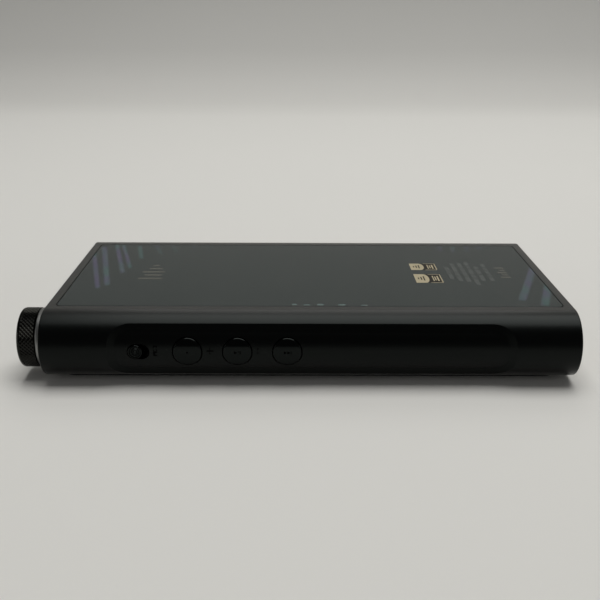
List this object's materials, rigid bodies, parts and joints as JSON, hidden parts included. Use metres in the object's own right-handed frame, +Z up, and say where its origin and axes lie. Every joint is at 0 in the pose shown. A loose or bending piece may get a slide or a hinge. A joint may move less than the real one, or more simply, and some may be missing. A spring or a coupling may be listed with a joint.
{
  "type": "portable digital audio player",
  "caption": "Slim black music player lying display down, back glass up, with round side keys in a recess, a hold slider, a knurled volume knob and end sockets.",
  "frame": {"origin": "centre of the display glass's outer face, which the player lies on", "axes": "+Z up out of the back glass; +X along the player's length, from the volume knob towards the sockets; -Y towards the side with the keys"},
  "size_m": [0.1383, 0.075, 0.018],
  "materials": {
    "anodised_black": "fine bead-blasted, anodised black",
    "polished_black": "smooth black anodised",
    "satin_grey": "satin grey anodised",
    "dark_glass": "polished, dark backing",
    "black_tape": "matt",
    "display_module": "satin",
    "graphite": "satin foil",
    "black_plastic": "satin moulded",
    "switch_plunger": "moulded",
    "steel": "bright stainless",
    "gold_plate": "polished gold plate",
    "brass": "plain turned",
    "circuit_board": "solder resist",
    "battery_wrap": "foil wrap"
  },
  "bodies": {
    "player": {"chassis": "anodised_black", "back_glass": "dark_glass", "back_glass_tape": "black_tape", "display_glass": "dark_glass", "display_tape": "black_tape", "display_panel": "display_module", "graphite_sheet": "graphite", "display_ribbon": "black_tape", "previous_key_switch": "black_plastic", "play_key_switch": "black_plastic", "next_key_switch": "black_plastic", "key_board": "circuit_board", "hold_switch": "steel", "power_key_switch": "black_plastic", "power_board": "circuit_board", "knob_collar": "satin_grey", "encoder_body": "steel", "encoder_nut": "brass", "balanced_small_socket": "black_plastic", "balanced_small_ring": "gold_plate", "headphone_socket": "black_plastic", "headphone_ring": "gold_plate", "usb_body": "black_plastic", "usb_shell": "steel", "usb_tongue": "black_plastic", "balanced_large_socket": "black_plastic", "balanced_large_ring": "gold_plate", "line_out_socket": "black_plastic", "line_out_ring": "gold_plate", "card_reader": "steel", "digital_board": "circuit_board", "audio_board": "circuit_board", "board_screw_1": "steel", "board_screw_2": "steel", "board_screw_3": "steel", "board_screw_4": "steel", "board_screw_5": "steel", "board_screw_6": "steel", "board_screw_7": "steel", "board_screw_8": "steel", "processor_shield": "steel", "left_channel_shield": "steel", "right_channel_shield": "steel", "battery_pack": "battery_wrap"},
    "knob": {"volume_knob": "polished_black", "knob_set_screw": "steel", "encoder_shaft": "steel"},
    "hold_slider": {"hold_slider": "polished_black", "hold_lever": "black_plastic"},
    "previous_key": {"previous_key": "polished_black", "previous_key_plunger": "switch_plunger"},
    "play_key": {"play_key": "polished_black", "play_key_plunger": "switch_plunger"},
    "next_key": {"next_key": "polished_black", "next_key_plunger": "switch_plunger"},
    "power_key": {"power_key": "polished_black", "power_key_plunger": "switch_plunger"},
    "card_tray": {"card_tray": "anodised_black", "memory_card": "black_plastic"}
  },
  "joints": [
    {"name": "knob_turn", "type": "hinge", "parent": "player", "child": "knob", "pos_m": [-0.07, -0.0269, 0.00945], "axis": [1, 0, 0], "continuous": true},
    {"name": "hold_slide", "type": "slide", "parent": "player", "child": "hold_slider", "axis": [1, 0, 0], "range_m": [0, 0.0015]},
    {"name": "previous_key_press", "type": "slide", "parent": "player", "child": "previous_key", "axis": [0, 1, 0], "range_m": [0, 0.00035], "stiffness_N_per_m": 500},
    {"name": "play_key_press", "type": "slide", "parent": "player", "child": "play_key", "axis": [0, 1, 0], "range_m": [0, 0.00035], "stiffness_N_per_m": 500},
    {"name": "next_key_press", "type": "slide", "parent": "player", "child": "next_key", "axis": [0, 1, 0], "range_m": [0, 0.00035], "stiffness_N_per_m": 500},
    {"name": "power_key_press", "type": "slide", "parent": "player", "child": "power_key", "axis": [1, 0, 0], "range_m": [0, 0.00035], "stiffness_N_per_m": 500},
    {"name": "card_tray_slide", "type": "slide", "parent": "player", "child": "card_tray", "axis": [0, 1, 0], "range_m": [0, 0.022]}
  ]
}
